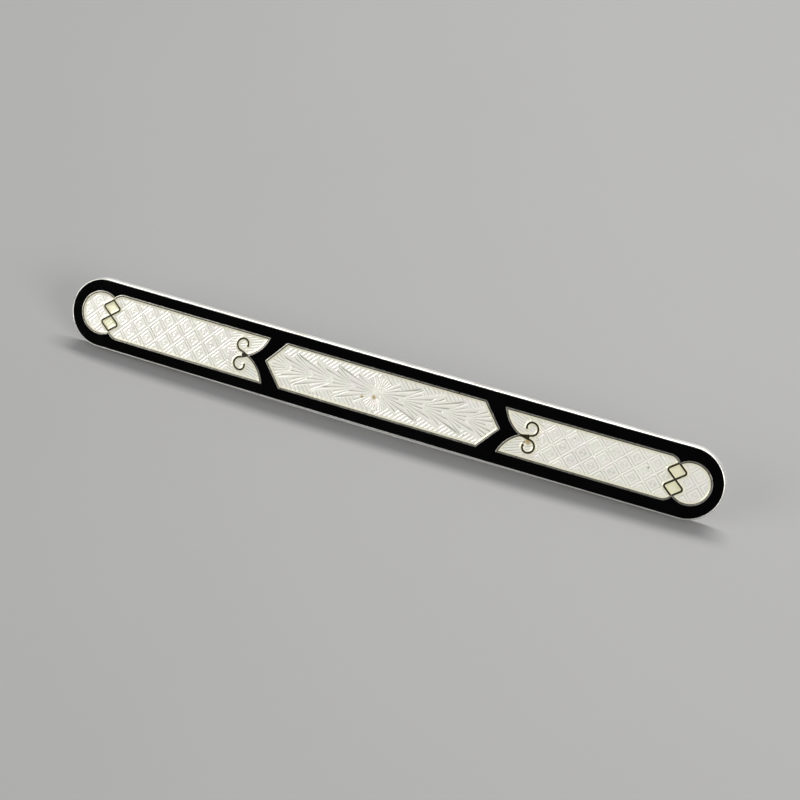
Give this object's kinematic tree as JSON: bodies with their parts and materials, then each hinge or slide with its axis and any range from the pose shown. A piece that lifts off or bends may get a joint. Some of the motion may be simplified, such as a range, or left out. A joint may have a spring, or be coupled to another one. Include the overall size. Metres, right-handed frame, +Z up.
{
  "type": "enamelled bar pin",
  "caption": "Long silver bar pin with white engine-turned enamel panels in a black enamel border, and a hinged pin with a turning safety catch on its back.",
  "frame": {"origin": "middle of the footprint, on the surface that the pin rests on", "axes": "+X along the bar, +Z up; the bar leans back on its catch, with its enamel face towards -Y and up"},
  "size_m": [0.0602, 0.0058, 0.0058],
  "materials": {
    "silver": "polished sterling silver, lightly worn",
    "line_silver": "narrow silver lines, polished flush with the enamel, with a dark seam on their inner side",
    "pin_wire": "hard-drawn polished silver wire",
    "black_enamel": "opaque glossy black enamel",
    "white_enamel": "pearly cream-white translucent enamel over engine-turned silver",
    "diamond_enamel": "cream enamel, slightly pink"
  },
  "bodies": {
    "bar": {"bar_plate": "silver", "centre_wire": "line_silver", "left_wire": "line_silver", "right_wire": "line_silver", "black_enamel": "black_enamel", "centre_enamel": "white_enamel", "left_panel_enamel": "white_enamel", "right_panel_enamel": "white_enamel", "left_cap_enamel": "white_enamel", "right_cap_enamel": "white_enamel", "left_diamond_upper": "diamond_enamel", "left_diamond_lower": "diamond_enamel", "right_diamond_upper": "diamond_enamel", "right_diamond_lower": "diamond_enamel", "hinge_joint": "silver", "hinge_rivet": "silver", "catch_base": "silver", "catch_ring": "silver"},
    "pin": {"pin_knuckle": "silver", "pin_stem": "pin_wire"},
    "catch_sleeve": {"catch_rotor": "silver"}
  },
  "joints": [
    {"name": "pin_swing", "type": "hinge", "parent": "bar", "child": "pin", "pos_m": [-0.021, 0.00135, 0.00145], "axis": [0, 0.6088, 0.7934], "range_deg": [0, 100]},
    {"name": "catch_turn", "type": "hinge", "parent": "bar", "child": "catch_sleeve", "pos_m": [0.021, 0.00135, 0.00145], "axis": [-1, 0, 0], "range_deg": [0, 120]}
  ]
}
